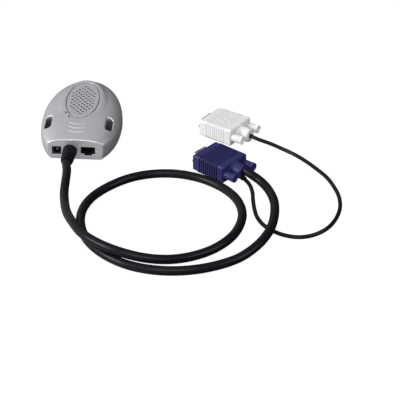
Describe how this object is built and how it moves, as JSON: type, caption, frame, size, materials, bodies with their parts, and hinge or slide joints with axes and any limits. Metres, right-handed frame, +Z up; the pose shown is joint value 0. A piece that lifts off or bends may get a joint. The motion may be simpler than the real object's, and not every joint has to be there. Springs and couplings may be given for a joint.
{
  "type": "vga repeater",
  "caption": "Egg-shaped video line repeater with a power jack, a network socket and a fixed thick cable to a blue plug, from which a thin branch cable runs to a white plug.",
  "frame": {"origin": "middle of the housing, on the surface that its feet stand on", "axes": "+Z up; the jacks and the cable outlet face -Y; +X to the right seen from the jacks"},
  "size_m": [0.2666, 0.2645, 0.0372],
  "materials": {
    "housing": "satin silver paint on moulded plastic",
    "foot_rubber": "matt",
    "steel": "nickel-plated, lightly worn",
    "light_pipe": "clear, dark while off",
    "board": "solder-masked",
    "led_body": "moulded",
    "jack_black": "moulded, half gloss",
    "gold_contact": "gold flash",
    "nickel": "bright nickel plate",
    "chip": "moulded epoxy",
    "capacitor": "sleeved can",
    "nylon_white": "moulded",
    "wire": "extruded",
    "boot_rubber": "satin",
    "cable_jacket": "satin PVC",
    "hood_blue": "satin moulded PVC",
    "insulator_blue": "moulded",
    "hood_white": "satin moulded PVC"
  },
  "bodies": {
    "root": {"bottom_cover": "housing", "top_cover": "housing", "vent_grille": "housing", "rubber_feet": "foot_rubber", "cover_screws": "steel", "power_light_pipe": "light_pipe", "link_light_pipe": "light_pipe", "main_pcb": "board", "board_screws": "steel", "status_leds": "led_body", "rj45_housing": "jack_black", "rj45_contacts": "gold_contact", "dc_jack_housing": "jack_black", "dc_jack_contacts": "nickel", "video_driver_ic": "chip", "sync_driver_ics": "chip", "voltage_regulator": "chip", "capacitors": "capacitor", "cable_header": "nylon_white", "inner_wires": "wire", "cable_boot": "boot_rubber", "video_cable": "cable_jacket", "blue_hood": "hood_blue", "blue_shell": "nickel", "blue_insulator": "insulator_blue", "blue_pins": "gold_contact", "branch_grommet": "boot_rubber", "white_hood": "hood_white", "white_shell": "nickel", "white_insulator": "nylon_white", "white_contacts": "gold_contact", "branch_cable": "cable_jacket"},
    "blue_ring_near": {"blue_ring_near": "steel"},
    "blue_screw_near": {"blue_screw_near": "steel", "blue_knob_near": "hood_blue"},
    "blue_ring_far": {"blue_ring_far": "steel"},
    "blue_screw_far": {"blue_screw_far": "steel", "blue_knob_far": "hood_blue"},
    "white_ring_near": {"white_ring_near": "steel"},
    "white_screw_near": {"white_screw_near": "steel", "white_knob_near": "hood_white"},
    "white_ring_far": {"white_ring_far": "steel"},
    "white_screw_far": {"white_screw_far": "steel", "white_knob_far": "hood_white"}
  },
  "joints": [
    {"name": "blue_float_near", "type": "slide", "parent": "root", "child": "blue_ring_near", "axis": [-0.8049, 0.5934, 0], "range_m": [-0.004, 0]},
    {"name": "blue_turn_near", "type": "hinge", "parent": "blue_ring_near", "child": "blue_screw_near", "pos_m": [0.13268, -0.07466, 0.008], "axis": [-0.8049, 0.5934, 0], "continuous": true},
    {"name": "blue_float_far", "type": "slide", "parent": "root", "child": "blue_ring_far", "axis": [-0.8049, 0.5934, 0], "range_m": [-0.004, 0]},
    {"name": "blue_turn_far", "type": "hinge", "parent": "blue_ring_far", "child": "blue_screw_far", "pos_m": [0.14752, -0.05454, 0.008], "axis": [-0.8049, 0.5934, 0], "continuous": true},
    {"name": "white_float_near", "type": "slide", "parent": "root", "child": "white_ring_near", "axis": [-0.8554, 0.518, 0], "range_m": [-0.004, 0]},
    {"name": "white_turn_near", "type": "hinge", "parent": "white_ring_near", "child": "white_screw_near", "pos_m": [0.13522, -0.01069, 0.008], "axis": [-0.8554, 0.518, 0], "continuous": true},
    {"name": "white_float_far", "type": "slide", "parent": "root", "child": "white_ring_far", "axis": [-0.8554, 0.518, 0], "range_m": [-0.004, 0]},
    {"name": "white_turn_far", "type": "hinge", "parent": "white_ring_far", "child": "white_screw_far", "pos_m": [0.14818, 0.01069, 0.008], "axis": [-0.8554, 0.518, 0], "continuous": true}
  ]
}
